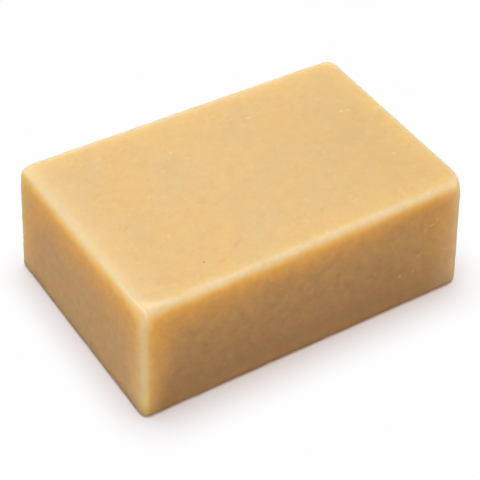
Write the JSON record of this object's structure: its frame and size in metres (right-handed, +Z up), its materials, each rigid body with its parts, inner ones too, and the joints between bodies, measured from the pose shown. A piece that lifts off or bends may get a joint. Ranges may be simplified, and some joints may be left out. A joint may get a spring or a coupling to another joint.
{
  "type": "bar of soap",
  "caption": "Rectangular bar of plain soap with sides that taper slightly inwards, a soft rounded top rim and rounded upright edges, lying on its broad flat base.",
  "frame": {"origin": "middle of the flat face that the bar stands on", "axes": "+X along the bar's length, +Y across its width, +Z up through its height"},
  "size_m": [0.082, 0.054, 0.0284],
  "materials": {
    "soap": "satin wax, slightly translucent, honey cream with pale flecks"
  },
  "bodies": {
    "root": {"soap_bar": "soap"}
  },
  "joints": []
}
